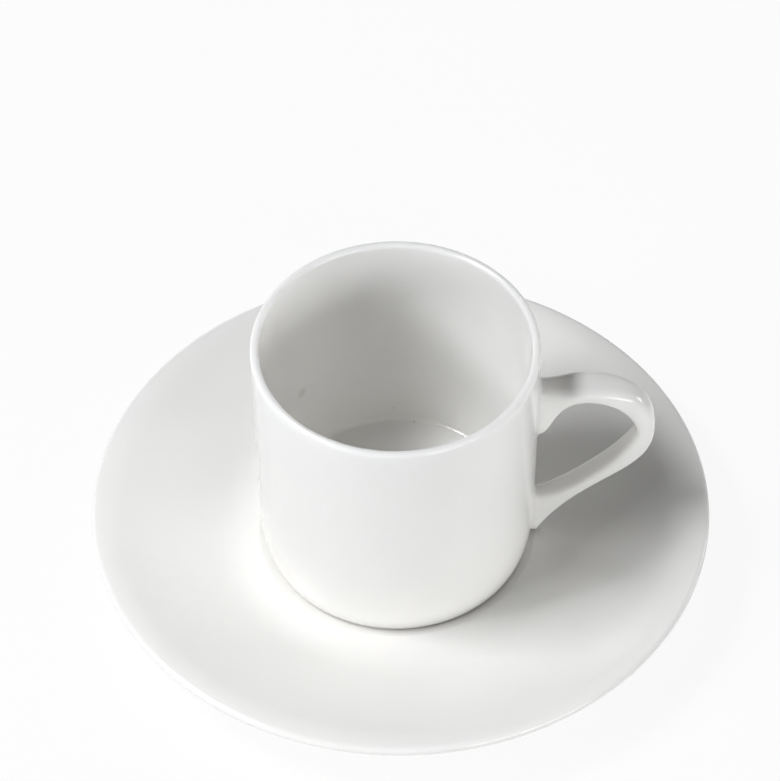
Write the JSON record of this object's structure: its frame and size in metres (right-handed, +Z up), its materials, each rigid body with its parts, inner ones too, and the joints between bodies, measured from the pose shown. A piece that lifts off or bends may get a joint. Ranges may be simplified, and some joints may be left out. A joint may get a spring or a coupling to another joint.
{
  "type": "espresso cup with saucer",
  "caption": "White glazed porcelain espresso cup, a straight-sided can with a looped strap handle, standing in the sunk seat of a wide round saucer and lifting off it.",
  "frame": {"origin": "on the table under the centre of the saucer's foot ring", "axes": "+Z up, +X the way the cup's handle points"},
  "size_m": [0.124, 0.124, 0.0616],
  "materials": {
    "white_glaze": "clear gloss glaze over white porcelain"
  },
  "bodies": {
    "saucer": {"saucer": "white_glaze"},
    "cup": {"cup_body": "white_glaze", "cup_handle": "white_glaze"}
  },
  "joints": [
    {"name": "cup_lift", "type": "slide", "parent": "saucer", "child": "cup", "axis": [0, 0, 1], "range_m": [0, 0.08]}
  ]
}
